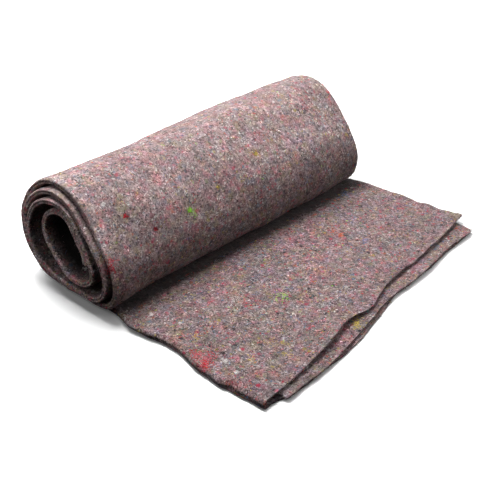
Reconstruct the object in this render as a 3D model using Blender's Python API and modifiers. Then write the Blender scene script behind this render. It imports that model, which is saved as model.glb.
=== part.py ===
"""Moving blanket of needled recycled felt.

One felt sheet is folded lengthwise in three, then rolled up from one end.
The last third of a metre lies flat beside the roll, with its three layers
slipped a little out of line. The sheet is one closed solid with its real
thickness, so every layer and every turn is the same piece of felt.

Axes: X runs along the roll, +X to its far end. The free end lies flat
towards -Y. +Z is up and the bottom layer lies on Z = 0. The origin is the
middle of the blanket's footprint.
"""

from collections import namedtuple
import math

import bmesh
import bpy
import numpy as np

# Sizes in metres ----------------------------------------------------------

PANEL_WIDTH = 0.500          # a 1.5 m wide felt folded in three
FELT_THICKNESS = 0.0022
ROLLED_PITCH = 0.0028        # layer to layer where the turns press them
FLAT_PITCH = 0.0041          # layer to layer where they lie loose
TURN_GAP = 0.0010            # least air between two turns
TOP_EDGE_SET_BACK = 0.002    # top layer's cut edge, in from the far fold of the roll
TUCKED_EDGE_SET_BACK = 0.030   # middle layer's cut edge, in from the near fold
PRESS_BLEND = 0.009          # how softly a turn bends onto what it rests on

PACK_THICKNESS = 2 * ROLLED_PITCH + FELT_THICKNESS

# The wound section, seen along the roll. A row is one turn. The angle grows
# from the bottom (-90) over the back (0), the top (90) and the front (180),
# inwards. oval and pear are the parts of the radius that flatten and slump
# the ring, and the leans are the angles where each is largest. A ring takes
# over from the one outside it between the back and its settled angle.
Ring = namedtuple(
    "Ring", "name centre_y centre_z radius oval oval_lean pear pear_lean settled near_edge"
)
RINGS = (
    Ring("lap",    0.0145, 0.0800, 0.0925, 0.075, 30, 0.090, -31,  90, 0.015),
    Ring("outer",  0.0110, 0.0817, 0.0838, 0.083, 32, 0.089, -31,  90, 0.007),
    Ring("second", 0.0090, 0.0835, 0.0711, 0.088, 34, 0.092, -31,  90, 0.000),
    Ring("third",  0.0012, 0.0893, 0.0468, 0.180, 59, 0.065, -16, 130, 0.000),
    Ring("inner",  0.0040, 0.0930, 0.0340, 0.200, 61, 0.050, -16, 120, 0.004),
    Ring("core",   0.0000, 0.0930, 0.0230, 0.200, 61, 0.050, -16,  90, 0.012),
)
FIRST_ANGLE = -90.0
LAST_ANGLE = 1290.0
STEP_IN_DEGREES = 0.25       # used to find a turn's direction

# From the near to the far end the roll drifts, sags and slims by this much.
FAR_END_DRIFT_Y = -0.014
FAR_END_SAG = -0.011
FAR_END_SLIM = -0.001
FAR_END_PEAR = -0.015

# Soft lumps along the roll: height, length and turns of the lump around it.
Lump = namedtuple("Lump", "height length around phase")
LUMPS = (
    Lump(-0.0025, 0.500, 0, 0.0),
    Lump(0.0007, 0.350, 2, 0.6),
)

# Where each layer of the free end stops, in Y, for places across the panel.
FreeEnd = namedtuple("FreeEnd", "across top middle bottom")
FREE_END = (
    FreeEnd(0.000, -0.331, -0.341, -0.331),
    FreeEnd(0.030, -0.330, -0.341, -0.334),
    FreeEnd(0.065, -0.328, -0.341, -0.340),
    FreeEnd(0.128, -0.321, -0.340, -0.340),
    FreeEnd(0.185, -0.309, -0.333, -0.337),
    FreeEnd(0.235, -0.314, -0.324, -0.327),
    FreeEnd(0.290, -0.298, -0.317, -0.314),
    FreeEnd(0.350, -0.294, -0.319, -0.311),
    FreeEnd(0.410, -0.292, -0.314, -0.313),
    FreeEnd(0.460, -0.286, -0.309, -0.308),
    FreeEnd(0.500, -0.282, -0.306, -0.304),
)

# The flat end's long sides, in X: the near fold, the far fold and the top
# layer's cut edge over it.
SideLine = namedtuple("SideLine", "y near far top")
SIDE_LINES = (
    SideLine(-0.030, 0.016, 0.514, 0.512),
    SideLine(-0.080, 0.018, 0.508, 0.506),
    SideLine(-0.130, 0.006, 0.514, 0.517),
    SideLine(-0.175, 0.014, 0.518, 0.521),
    SideLine(-0.212, 0.011, 0.514, 0.516),
    SideLine(-0.260, 0.006, 0.518, 0.526),
    SideLine(-0.288, 0.014, 0.520, 0.531),
    SideLine(-0.340, 0.012, 0.514, 0.531),
)
LOOSE_FROM_Y = -0.066        # the flat layers are pressed up to here
LOOSE_BY_Y = -0.125          # and lie loose from here on
TOP_LAYER_LIFT = 0.0016      # highest ripple of the top layer's free edge

# Steps of the mesh
STEPS_ACROSS = 8
NEAR_FOLD_STEPS = 4
FAR_FOLD_STEPS = 3
FLAT_STEPS = 8
CURVE_ERROR = 0.0009         # how far a facet may cut inside its curve

FELT_COLOUR = (0.235, 0.185, 0.180, 1.0)


# Winding ------------------------------------------------------------------

def smooth_step(value):
    value = min(max(value, 0.0), 1.0)
    return value * value * (3.0 - 2.0 * value)


def mix(start, end, share):
    return start + (end - start) * share


def press_onto(height, rest):
    """Keep a height at or above rest, bending softly where it lands."""
    above = height - rest
    if above >= PRESS_BLEND:
        return height
    if above <= -PRESS_BLEND:
        return rest
    return rest + (above + PRESS_BLEND) ** 2 / (4.0 * PRESS_BLEND)


def ring_at(angle):
    """Centre, radius and shape of the winding at an angle."""
    turn = math.floor(angle / 360.0)
    last = len(RINGS) - 1
    start = RINGS[min(max(turn, 0), last)]
    end = RINGS[min(turn + 1, last)]
    share = smooth_step((angle - 360.0 * turn) / end.settled)
    return [mix(a, b, share) for a, b in zip(start[1:8], end[1:8])]


def near_edge_at(angle):
    """X of the roll's near edge: the inner turns stand out a little."""
    turns = (angle - FIRST_ANGLE) / 360.0
    return np.interp(turns, range(len(RINGS)), [ring.near_edge for ring in RINGS])


def lump_at(angle, across):
    total = 0.0
    for lump in LUMPS:
        along = 2.0 * math.pi * across / lump.length
        around = math.radians(angle) * lump.around
        total += lump.height * math.sin(along + lump.phase) * math.cos(around)
    return total


def rest_height(angle):
    """Height of the pack's middle where this turn lies on those below."""
    turns_below = math.floor((angle + 180.0) / 360.0)
    return PACK_THICKNESS / 2.0 + turns_below * (PACK_THICKNESS + TURN_GAP)


def wound_point(angle, across):
    """Middle of the three layers, as (y, z), at a winding angle."""
    centre_y, centre_z, radius, oval, oval_lean, pear, pear_lean = ring_at(angle)
    far = across / PANEL_WIDTH
    turn = math.radians(angle)
    oval_share = oval * math.cos(2.0 * (turn - math.radians(oval_lean)))
    pear_size = pear + FAR_END_PEAR * far
    pear_share = pear_size * math.cos(3.0 * (turn - math.radians(pear_lean)))
    reach = (radius + FAR_END_SLIM * far) * (1.0 + oval_share + pear_share)
    reach += lump_at(angle, across)
    y = centre_y + FAR_END_DRIFT_Y * far + reach * math.cos(turn)
    z = centre_z + FAR_END_SAG * far + reach * math.sin(turn)
    if math.sin(turn) < 0.2:
        z = press_onto(z, rest_height(angle))
    return np.array((y, z))


def wound_frame(angle, across):
    """Middle point of the layers and the direction to the roll's inside."""
    before = wound_point(angle - STEP_IN_DEGREES, across)
    after = wound_point(angle + STEP_IN_DEGREES, across)
    forward = (after - before) / np.linalg.norm(after - before)
    return wound_point(angle, across), np.array((-forward[1], forward[0]))


# Folding ------------------------------------------------------------------

def fold_path():
    """Steps along the folded felt, from the top layer's cut edge round the
    near fold, the bottom layer and the far fold to the tucked edge."""
    across = [step / STEPS_ACROSS for step in range(STEPS_ACROSS + 1)]
    path = [("top", share) for share in reversed(across)]
    path += [("near fold", step / NEAR_FOLD_STEPS) for step in range(1, NEAR_FOLD_STEPS)]
    path += [("bottom", share) for share in across]
    path += [("far fold", step / FAR_FOLD_STEPS) for step in range(1, FAR_FOLD_STEPS)]
    path += [("middle", share) for share in reversed(across)]
    return path


def folded_place(part, share, pitch, near, far, top_edge):
    """X and height, from the middle layer, of a step along the fold. The
    inner steps of the three layers lie in line with each other."""
    near_centre = near + pitch + FELT_THICKNESS / 2.0
    far_centre = far - (pitch + FELT_THICKNESS) / 2.0
    in_line = mix(near, far, share)
    turn = math.pi * share
    if part == "near fold":
        return near_centre - pitch * math.sin(turn), pitch * math.cos(turn)
    if part == "far fold":
        drop = pitch / 2.0
        return far_centre + drop * math.sin(turn), -drop - drop * math.cos(turn)
    starts = {"top": near_centre, "bottom": near_centre, "middle": near + TUCKED_EDGE_SET_BACK}
    ends = {"top": top_edge, "bottom": far_centre, "middle": far_centre}
    heights = {"top": pitch, "bottom": -pitch, "middle": 0.0}
    if share == 0.0:
        in_line = starts[part]
    if share == 1.0:
        in_line = ends[part]
    return in_line, heights[part]


def wound_place(part, share, angle):
    """Point of the felt on the roll."""
    near = near_edge_at(angle)
    far = near + PANEL_WIDTH
    x, height = folded_place(part, share, ROLLED_PITCH, near, far, far - TOP_EDGE_SET_BACK)
    middle, inwards = wound_frame(angle, x - near)
    y, z = middle + inwards * height
    return x, y, z


def free_end_y(part, share, across):
    """Y where this layer of the flat end stops."""
    places = [row.across for row in FREE_END]
    top = np.interp(across, places, [row.top for row in FREE_END])
    middle = np.interp(across, places, [row.middle for row in FREE_END])
    bottom = np.interp(across, places, [row.bottom for row in FREE_END])
    ends = {
        "top": top,
        "near fold": mix(top, bottom, share),
        "bottom": bottom,
        "far fold": mix(bottom, middle, share),
        "middle": middle,
    }
    return ends[part]


def flat_place(part, share, reach):
    """Point of the felt on the flat end. reach is 0 under the roll and 1 at
    the layer's free edge."""
    across, _ = folded_place(part, share, FLAT_PITCH, 0.0, PANEL_WIDTH, PANEL_WIDTH)
    start_y = RINGS[0].centre_y + FAR_END_DRIFT_Y * across / PANEL_WIDTH
    y = mix(start_y, free_end_y(part, share, across), reach)
    loose = smooth_step((y - LOOSE_FROM_Y) / (LOOSE_BY_Y - LOOSE_FROM_Y))
    pitch = mix(ROLLED_PITCH, FLAT_PITCH, loose)
    rows = [-row.y for row in SIDE_LINES]
    near = np.interp(-y, rows, [row.near for row in SIDE_LINES])
    far = np.interp(-y, rows, [row.far for row in SIDE_LINES])
    top_edge = np.interp(-y, rows, [row.top for row in SIDE_LINES])
    x, height = folded_place(part, share, pitch, near, far, top_edge)
    z = pitch + FELT_THICKNESS / 2.0 + height
    if part == "top":
        ripple = 0.5 + 0.5 * math.sin(2.0 * math.pi * across / 0.19)
        z += TOP_LAYER_LIFT * ripple * reach ** 4
    return x, y, z


# Blanket ------------------------------------------------------------------

def winding_steps():
    """Places along the blanket: shares of the flat end, then angles."""
    steps = [("flat", 1.0 - step / FLAT_STEPS) for step in range(FLAT_STEPS)]
    angle = FIRST_ANGLE
    while angle < LAST_ANGLE:
        steps.append(("wound", angle))
        radius = ring_at(angle)[2]
        angle += math.degrees(math.sqrt(8.0 * CURVE_ERROR / radius))
    steps.append(("wound", LAST_ANGLE))
    return steps


def felt_surface():
    """The felt's middle surface as a grid, folded and wound into place."""
    across = fold_path()
    along = winding_steps()
    mesh = bpy.data.meshes.new("moving_blanket")
    shape = bmesh.new()
    bmesh.ops.create_grid(
        shape, x_segments=len(across) - 1, y_segments=len(along) - 1, size=1.0
    )
    for vert in shape.verts:
        column = round((vert.co.x + 1.0) / 2.0 * (len(across) - 1))
        row = round((vert.co.y + 1.0) / 2.0 * (len(along) - 1))
        part, share = across[column]
        zone, place = along[row]
        if zone == "flat":
            vert.co = flat_place(part, share, place)
        else:
            vert.co = wound_place(part, share, place)
    shape.to_mesh(mesh)
    shape.free()
    return mesh


def stand_on_origin(mesh):
    """Move the mesh so that its footprint is centred on the origin."""
    places = np.empty(len(mesh.vertices) * 3)
    mesh.vertices.foreach_get("co", places)
    places = places.reshape(-1, 3)
    low, high = places.min(axis=0), places.max(axis=0)
    places[:, :2] -= (low[:2] + high[:2]) / 2.0
    mesh.vertices.foreach_set("co", places.ravel())
    mesh.update()


def felt_material():
    material = bpy.data.materials.new("recycled_felt")
    material.use_nodes = True
    shader = material.node_tree.nodes["Principled BSDF"]
    shader.inputs["Base Color"].default_value = FELT_COLOUR
    shader.inputs["Roughness"].default_value = 0.95
    shader.inputs["Metallic"].default_value = 0.0
    material.diffuse_color = FELT_COLOUR
    return material


def build_blanket(collection):
    mesh = felt_surface()
    stand_on_origin(mesh)
    blanket = bpy.data.objects.new("moving_blanket", mesh)
    collection.objects.link(blanket)
    mesh.materials.append(felt_material())
    mesh.shade_smooth()
    thickness = blanket.modifiers.new("felt thickness", "SOLIDIFY")
    thickness.thickness = FELT_THICKNESS
    thickness.offset = 0.0
    thickness.use_even_offset = True
    return blanket


def main():
    for item in list(bpy.data.objects):
        bpy.data.objects.remove(item, do_unlink=True)
    collection = bpy.data.collections.new("Moving blanket")
    bpy.context.scene.collection.children.link(collection)
    build_blanket(collection)


main()
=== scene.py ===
# %% [markdown]
# # A rolled moving blanket of recycled felt
# A moving blanket of this kind is one sheet of needled felt, 1.5 m wide and
# 2 m long, made of shredded waste cloth. Here it is folded lengthwise in
# three, rolled up, and its last third of a metre lies flat beside the roll.
# The imported model fixes where everything is, so it is loaded first. Its box
# is kept.

# %% Load the frame
import math

import bmesh
import bpy
import numpy as np
from mathutils import Matrix, Vector, noise
from mathutils.bvhtree import BVHTree


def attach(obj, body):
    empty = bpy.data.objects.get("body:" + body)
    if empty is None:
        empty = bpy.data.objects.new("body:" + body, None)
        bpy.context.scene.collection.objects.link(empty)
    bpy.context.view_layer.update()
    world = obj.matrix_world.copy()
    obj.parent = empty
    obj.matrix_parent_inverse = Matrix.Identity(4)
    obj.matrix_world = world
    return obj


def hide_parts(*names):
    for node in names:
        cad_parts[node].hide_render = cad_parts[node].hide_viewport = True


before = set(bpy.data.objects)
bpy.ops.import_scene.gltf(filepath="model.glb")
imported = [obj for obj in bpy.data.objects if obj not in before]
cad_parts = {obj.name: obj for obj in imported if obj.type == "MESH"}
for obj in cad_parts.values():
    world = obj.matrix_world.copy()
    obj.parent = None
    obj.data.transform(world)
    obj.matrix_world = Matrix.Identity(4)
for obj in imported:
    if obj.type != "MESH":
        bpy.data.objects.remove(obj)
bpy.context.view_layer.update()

# %% [markdown]
# ## The cloth's own sizes
# Felt has a real thickness, so the three layers of the folded pack can't lie
# closer than that. Where the turns press on each other the middles of two
# layers are 2.8 mm apart, and in the loose flat end 4.1 mm. Naming these few
# sizes first means that every later shape follows when one of them changes.

# %% Sizes in metres
CLOTH_WIDTH = 1.50
CLOTH_LENGTH = 2.00
PANEL_WIDTH = CLOTH_WIDTH / 3
FELT_THICKNESS = 0.0022
ROLLED_PITCH = 0.0028
FLAT_PITCH = 0.0041
TURN_GAP = 0.0010
TOP_EDGE_SET_BACK = 0.002
TUCKED_EDGE_SET_BACK = 0.030
PRESS_BLEND = 0.009
PACK_THICKNESS = 2 * ROLLED_PITCH + FELT_THICKNESS
# taken off every place, so that the blanket lies centred on the origin
FOOTPRINT_MIDDLE = np.array((0.2655, -0.1138, 0.0))
print("folded pack", round(PACK_THICKNESS * 1000, 1), "mm thick")

# %% [markdown]
# ## The turns of the roll
# Seen from its end, a hand-rolled blanket isn't a true spiral. Its own weight
# flattens it, the outer turns lie tight on each other, and the first turns
# stay open round the core. A cloth simulation could wind it, but it is likely
# to be slow, and where each turn comes to rest is hard to steer. A table with
# one row for each turn needs no waiting, and one number moves one turn. The
# angle is -90 at the bottom, 0 at the back, 90 at the top and 180 at the
# front, and it grows inwards.

# %% One row for each turn
# centre_y, centre_z, radius, oval, oval_lean, pear, pear_lean, settled, near_edge
RINGS = np.array((
    (0.0145, 0.0800, 0.0925, 0.075, 30, 0.090, -31,  90, 0.015),
    (0.0110, 0.0817, 0.0838, 0.083, 32, 0.089, -31,  90, 0.007),
    (0.0090, 0.0835, 0.0711, 0.088, 34, 0.092, -31,  90, 0.000),
    (0.0012, 0.0893, 0.0468, 0.180, 59, 0.065, -16, 130, 0.000),
    (0.0040, 0.0930, 0.0340, 0.200, 61, 0.050, -16, 120, 0.004),
))
CENTRE_Y, RADIUS, SETTLED, NEAR_EDGE = 0, 2, 7, 8
FIRST_ANGLE = -90.0
LAST_ANGLE = 1290.0
FAR_END_DRIFT_Y = -0.014
FAR_END_SAG = -0.011
FAR_END_SLIM = -0.001
FAR_END_PEAR = -0.015
# a soft shoulder along the front, from its angle at the near end to the far end
SHOULDER_ANGLES, SHOULDER_WIDTH, SHOULDER_HEIGHT = (130.0, 166.0), 26.0, 0.0055
SHOULDER_FULL_AT, SHOULDER_SINKS_AT, SHOULDER_SINKS_BY = 0.12, 0.86, 0.6


def smooth_step(value):
    value = np.clip(value, 0.0, 1.0)
    return value * value * (3.0 - 2.0 * value)


def mix(start, end, share):
    return start + (end - start) * share


def ring_at(angle):
    """The row of sizes at an angle, blended from each turn into the next."""
    turn = math.floor(angle / 360.0)
    last = len(RINGS) - 1
    start = RINGS[min(max(turn, 0), last)]
    end = RINGS[min(turn + 1, last)]
    share = smooth_step((angle - 360.0 * turn) / end[SETTLED])
    return mix(start, end, share)


for turn in range(4):
    print("turn", turn, "radius", round(ring_at(360.0 * turn + 200.0)[RADIUS] * 1000, 1), "mm")

# %% [markdown]
# ## Soft lumps
# Felt is thick and springy, so a roll of it is never smooth. It has broad
# dents where hands pulled it and small ones where fibres are matted. Perlin
# noise read on a cylinder gives lumps that join up all the way round. Every
# turn reads the same noise, so the turns stay clear of each other. One shallow
# crease crosses the top near the near end, as if a hand had held it there.

# %% Height of the lumps on the roll
# height, length along the roll, waves round it, and phase
BROAD_LUMPS = ((-0.0025, 0.500, 0, 0.0), (0.0007, 0.350, 2, 0.6))
# height, size and seed
SMALL_LUMPS = ((0.0020, 0.060, 3.1), (0.0012, 0.027, 8.7))
NOISE_RADIUS = 0.085
CREASE_DEPTH, CREASE_ANGLE, CREASE_PLACE = 0.0018, 93.0, 0.055
CREASE_DEGREES, CREASE_LENGTH = 8.0, 0.032


def noise_at(places, size, seed):
    """Perlin noise, about -1 to 1, at places in metres."""
    shift = Vector((seed, -2.3 * seed, 1.7 * seed))
    return np.array([noise.noise(Vector(place) / size + shift) for place in places])


def lumps_at(angle, across):
    """Height of all lumps at one angle, for many places across."""
    total = np.zeros_like(across)
    for height, length, around, phase in BROAD_LUMPS:
        wave = np.sin(2.0 * math.pi * across / length + phase)
        total += height * wave * math.cos(math.radians(angle) * around)
    turn = math.radians(angle)
    round_roll = np.stack((
        across,
        np.full_like(across, NOISE_RADIUS * math.cos(turn)),
        np.full_like(across, NOISE_RADIUS * math.sin(turn)),
    ), axis=1)
    for height, size, seed in SMALL_LUMPS:
        total += height * noise_at(round_roll, size, seed)
    crease = math.exp(-((angle - CREASE_ANGLE) / CREASE_DEGREES) ** 2)
    total -= CREASE_DEPTH * crease * np.exp(-((across - CREASE_PLACE) / CREASE_LENGTH) ** 2)
    return total


print("lumps", np.round(lumps_at(120.0, np.linspace(0, PANEL_WIDTH, 6)) * 1000, 2), "mm")

# %% [markdown]
# ## Winding the pack
# A turn bends softly onto what it rests on instead of cutting through it.
# The direction of the pack at a place comes from two points just before and
# after it, and the three layers are then set off along its normal.

# %% Middle of the pack and its inward direction
# a turn can rest on what is below it while the sine of its angle is under this
RESTS_UNDER = 0.2
# degrees before and after a place, between which its direction is read
HALF_STEP = 0.5


def press_onto(height, rest):
    """A height that settles softly onto what it rests on."""
    above = np.clip(height - rest, -PRESS_BLEND, PRESS_BLEND)
    pressed = rest + (above + PRESS_BLEND) ** 2 / (4.0 * PRESS_BLEND)
    return np.where(height - rest > PRESS_BLEND, height, pressed)


def wound_points(angle, across):
    """Middle of the three layers at one angle, for many places across."""
    centre_y, centre_z, radius, oval, oval_lean, pear, pear_lean = ring_at(angle)[:7]
    far = across / PANEL_WIDTH
    turn = math.radians(angle)
    oval_share = oval * math.cos(2.0 * (turn - math.radians(oval_lean)))
    pear_wave = math.cos(3.0 * (turn - math.radians(pear_lean)))
    pear_share = (pear + FAR_END_PEAR * far) * pear_wave
    reach = (radius + FAR_END_SLIM * far) * (1.0 + oval_share + pear_share)
    reach = reach + lumps_at(angle, across)
    shoulder_angle = mix(*SHOULDER_ANGLES, far)
    shoulder = np.exp(-((angle - shoulder_angle) / SHOULDER_WIDTH) ** 2)
    sinking = smooth_step((far - SHOULDER_SINKS_AT) / (1.0 - SHOULDER_SINKS_AT))
    inside_ends = smooth_step(far / SHOULDER_FULL_AT) * (1.0 - SHOULDER_SINKS_BY * sinking)
    reach = reach + SHOULDER_HEIGHT * shoulder * inside_ends
    y = centre_y + FAR_END_DRIFT_Y * far + reach * math.cos(turn)
    z = centre_z + FAR_END_SAG * far + reach * math.sin(turn)
    if math.sin(turn) < RESTS_UNDER:
        turns_below = math.floor((angle + 180.0) / 360.0)
        rest = PACK_THICKNESS / 2.0 + turns_below * (PACK_THICKNESS + TURN_GAP)
        z = press_onto(z, rest)
    return np.stack((y, z), axis=1)


def wound_frames(angle, across):
    """Points and directions to the inside of the roll."""
    ahead = wound_points(angle + HALF_STEP, across) - wound_points(angle - HALF_STEP, across)
    ahead /= np.linalg.norm(ahead, axis=1)[:, None]
    return wound_points(angle, across), np.stack((-ahead[:, 1], ahead[:, 0]), axis=1)


ends = wound_points(90.0, np.array((0.0, PANEL_WIDTH)))
print("top of the first turn at the near and far end", np.round(ends[:, 1] * 1000, 1), "mm")

# %% [markdown]
# ## Folding in three
# Followed from edge to edge, the felt makes a flat S: the top layer, the near
# fold, the bottom layer, the far fold, and the middle layer tucked between.
# The columns of the mesh follow that path. They are close together at edges
# and folds, where the eye looks, and wider apart on the open panels.

# %% Columns of the mesh along the fold
NEAR_FOLD_STEPS, FAR_FOLD_STEPS = 16, 6
WIDE_PANEL_STEPS, TUCKED_PANEL_STEPS = 62, 20
EDGE_SHARES = (0.0, 0.003, 0.007, 0.013, 0.021)


def panel_shares(steps):
    """Shares from 0 to 1 across a panel, closer together at both edges."""
    start = list(EDGE_SHARES)
    open_part = np.linspace(start[-1], 1.0 - start[-1], steps)[1:-1]
    return start + list(open_part) + [1.0 - share for share in reversed(start)]


def fold_path():
    wide, tucked = panel_shares(WIDE_PANEL_STEPS), panel_shares(TUCKED_PANEL_STEPS)
    path = [("top", share) for share in reversed(wide)]
    path += [("near fold", step / NEAR_FOLD_STEPS) for step in range(1, NEAR_FOLD_STEPS)]
    path += [("bottom", share) for share in wide]
    path += [("far fold", step / FAR_FOLD_STEPS) for step in range(1, FAR_FOLD_STEPS)]
    path += [("middle", share) for share in reversed(tucked)]
    return path


PATH = fold_path()
PARTS = np.array([part for part, _ in PATH])
SHARES = np.array([share for _, share in PATH])
print(len(PATH), "columns along the fold")

# %% Where each column lies
PINCHED_SHARE = 0.14


def folded_places(pitch, near, far, top_edge, pinch=0.0):
    """X and height above the middle layer of every column."""
    near_centre = near + pitch + FELT_THICKNESS / 2.0
    far_centre = far - (pitch + FELT_THICKNESS) / 2.0
    turn = math.pi * SHARES
    crease = pinch * np.exp(-((SHARES - 0.5) / PINCHED_SHARE) ** 2)
    x = np.where(PARTS == "near fold", near_centre - pitch * np.sin(turn) + crease, 0.0)
    height = np.where(PARTS == "near fold", pitch * np.cos(turn), 0.0)
    drop = pitch / 2.0
    x = np.where(PARTS == "far fold", far_centre + drop * np.sin(turn), x)
    height = np.where(PARTS == "far fold", -drop - drop * np.cos(turn), height)
    for part, start, end, level in (
        ("top", near_centre, top_edge, pitch),
        ("bottom", near_centre, far_centre, -pitch),
        ("middle", near + TUCKED_EDGE_SET_BACK, far_centre, 0.0),
    ):
        x = np.where(PARTS == part, mix(start, end, SHARES), x)
        height = np.where(PARTS == part, level, height)
    return x, height


fold_x, _ = folded_places(ROLLED_PITCH, 0.0, PANEL_WIDTH, PANEL_WIDTH)
print("folded width", round(float(np.ptp(fold_x)) * 1000, 1), "mm")

# %% [markdown]
# ## The roll's rims
# The near edge of each turn is a fold, and the turns don't line up: the inner
# ones stand out past the outer ones. Where the turns press on it the fold is
# pinched to a narrow ridge. Each fold line also wanders by a millimetre or
# two, as hand-folded cloth does, so noise moves it along the turn.

# %% The wound part
RIM_WANDER = 0.0016
SLOW_WAVE, QUICK_WAVE, QUICK_SHARE = 0.055, 0.017, 0.4
NEAR_SEED, FAR_SEED, TOP_SEED = 21.0, 35.0, 52.0
RIM_PINCH = 0.0030
TURN_LENGTH = 0.45
# share of the first turn in which the rim changes from flat to pinched
RIM_BEGINS = 0.12


def rim_wander(angle, seed):
    """How far an edge line strays at an angle, in slow and quick waves."""
    along = np.array([[angle / 360.0 * TURN_LENGTH, 0.0, 0.0]])
    quick = QUICK_SHARE * noise_at(along, QUICK_WAVE, seed)[0]
    return RIM_WANDER * (noise_at(along, SLOW_WAVE, seed)[0] + quick)


def wound_row(angle):
    """All columns of one row on the roll."""
    turns = (angle - FIRST_ANGLE) / 360.0
    near = np.interp(turns, range(len(RINGS)), RINGS[:, NEAR_EDGE])
    fade = smooth_step(turns / RIM_BEGINS)
    near += fade * rim_wander(angle, NEAR_SEED)
    far = near + PANEL_WIDTH + fade * rim_wander(angle, FAR_SEED)
    top_edge = far - TOP_EDGE_SET_BACK + 0.5 * fade * rim_wander(angle, TOP_SEED)
    x, height = folded_places(ROLLED_PITCH, near, far, top_edge, RIM_PINCH * fade)
    middle, inwards = wound_frames(angle, x - near)
    place = middle + inwards * height[:, None]
    return np.column_stack((x, place))


strays = [round(rim_wander(angle, NEAR_SEED) * 1000, 1) for angle in (0, 90, 180)]
print("near rim strays by", strays, "mm")

# %% [markdown]
# ## The flat free end
# The three layers of the free end have slipped out of line, so each has an
# edge line of its own. Cut felt has no hem. Its edge runs in slow waves with
# small nicks, and here and there it lifts off the layer below. The edge lines
# are short lists of places, and noise adds the fine ragged part.

# %% Edge lines of the free end, as (x, y)
TOP_END = (
    (0.013, -0.330), (0.047, -0.329), (0.080, -0.3275), (0.110, -0.324), (0.135, -0.3225),
    (0.157, -0.319), (0.175, -0.314), (0.193, -0.310), (0.210, -0.310), (0.226, -0.3125),
    (0.239, -0.314), (0.250, -0.313), (0.270, -0.306), (0.294, -0.299), (0.320, -0.2965),
    (0.345, -0.295), (0.360, -0.294), (0.366, -0.299), (0.373, -0.2945), (0.395, -0.294),
    (0.430, -0.2905), (0.460, -0.287), (0.490, -0.283), (0.517, -0.280), (0.531, -0.280),
)
MIDDLE_END = (
    (0.045, -0.342), (0.062, -0.341), (0.100, -0.342), (0.139, -0.341), (0.164, -0.337),
    (0.185, -0.3335), (0.209, -0.330), (0.230, -0.3265), (0.249, -0.323), (0.266, -0.319),
    (0.290, -0.3165), (0.308, -0.316), (0.342, -0.318), (0.365, -0.3175), (0.389, -0.316),
    (0.415, -0.3125), (0.441, -0.309), (0.470, -0.3095), (0.501, -0.310), (0.515, -0.306),
)
BOTTOM_END = (
    (0.013, -0.331), (0.034, -0.331), (0.047, -0.336), (0.067, -0.339), (0.081, -0.340),
    (0.118, -0.3375), (0.149, -0.341), (0.173, -0.3385), (0.194, -0.338), (0.226, -0.331),
    (0.250, -0.327), (0.284, -0.319), (0.318, -0.311), (0.344, -0.310), (0.393, -0.314),
    (0.420, -0.311), (0.451, -0.309), (0.490, -0.3075), (0.517, -0.304),
)
print("free end lies", round(-np.mean([y for _, y in TOP_END]), 3), "m out from the roll's middle")

# %% Side lines of the free end, as (y, x)
NEAR_TOP_LINE = (
    (-0.030, 0.0180), (-0.065, 0.0220), (-0.076, 0.0195), (-0.087, 0.0150), (-0.102, 0.0090),
    (-0.109, 0.0080), (-0.124, 0.0120), (-0.139, 0.0150), (-0.152, 0.0205), (-0.163, 0.0235),
    (-0.177, 0.0230), (-0.187, 0.0215), (-0.198, 0.0185), (-0.211, 0.0145), (-0.223, 0.0110),
    (-0.231, 0.0120), (-0.247, 0.0130), (-0.259, 0.0105), (-0.268, 0.0090), (-0.273, 0.0165),
    (-0.278, 0.0205), (-0.293, 0.0160), (-0.307, 0.0190), (-0.317, 0.0170), (-0.342, 0.0170),
)
NEAR_FLOOR_LINE = (
    (-0.030, 0.0210), (-0.071, 0.0200), (-0.095, 0.0160), (-0.132, 0.0150), (-0.152, 0.0190),
    (-0.187, 0.0200), (-0.210, 0.0150), (-0.233, 0.0105), (-0.267, 0.0090), (-0.297, 0.0120),
    (-0.311, 0.0140), (-0.342, 0.0160),
)
FAR_FOLD_LINE = (
    (-0.030, 0.510), (-0.071, 0.508), (-0.095, 0.509), (-0.132, 0.513), (-0.174, 0.515),
    (-0.216, 0.513), (-0.271, 0.517), (-0.286, 0.518), (-0.320, 0.515), (-0.342, 0.514),
)
TOP_SIDE_LINE = (
    (-0.030, 0.5060), (-0.075, 0.5105), (-0.100, 0.5150), (-0.137, 0.5185), (-0.156, 0.5190),
    (-0.172, 0.5230), (-0.192, 0.5220), (-0.208, 0.5205), (-0.221, 0.5275), (-0.231, 0.5270),
    (-0.245, 0.5257), (-0.259, 0.5305), (-0.269, 0.5300), (-0.277, 0.5315), (-0.342, 0.5315),
)
print(len(NEAR_TOP_LINE) + len(NEAR_FLOOR_LINE), "places on the near side of the free end")

# %% Where edges stand up, and the ragged free edge
# x, height, width and depth of each place where the top layer's edge stands up
EDGE_LIFTS = (
    (0.155, 0.0046, 0.045, 0.040), (0.205, 0.0030, 0.030, 0.030), (0.345, 0.0018, 0.030, 0.025),
    (0.440, 0.0016, 0.040, 0.030), (0.520, 0.0030, 0.030, 0.030),
)
TUCKED_LIFTS = ((0.385, 0.0022, 0.030, 0.016), (0.470, 0.0012, 0.030, 0.016))
LOOSE_FROM_Y = -0.066
LOOSE_BY_Y = -0.125
RAGGED = 0.0009
# share, size and seed of the slow and the quick waves of a ragged edge
RAGGED_WAVES = ((1.0, 0.021, 4.0), (0.7, 0.008, 6.0))
# each layer's edge reads the noise in a place of its own
TOP_NOISE, MIDDLE_NOISE, BOTTOM_NOISE = 0.0, 0.4, 0.8
NEAR_CORNER_X = 0.013


def end_line(table, x):
    places, values = zip(*table)
    return np.interp(x, places, values)


def side_line(table, y):
    places, values = zip(*table)
    return np.interp(-y, [-place for place in places], values)


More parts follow.
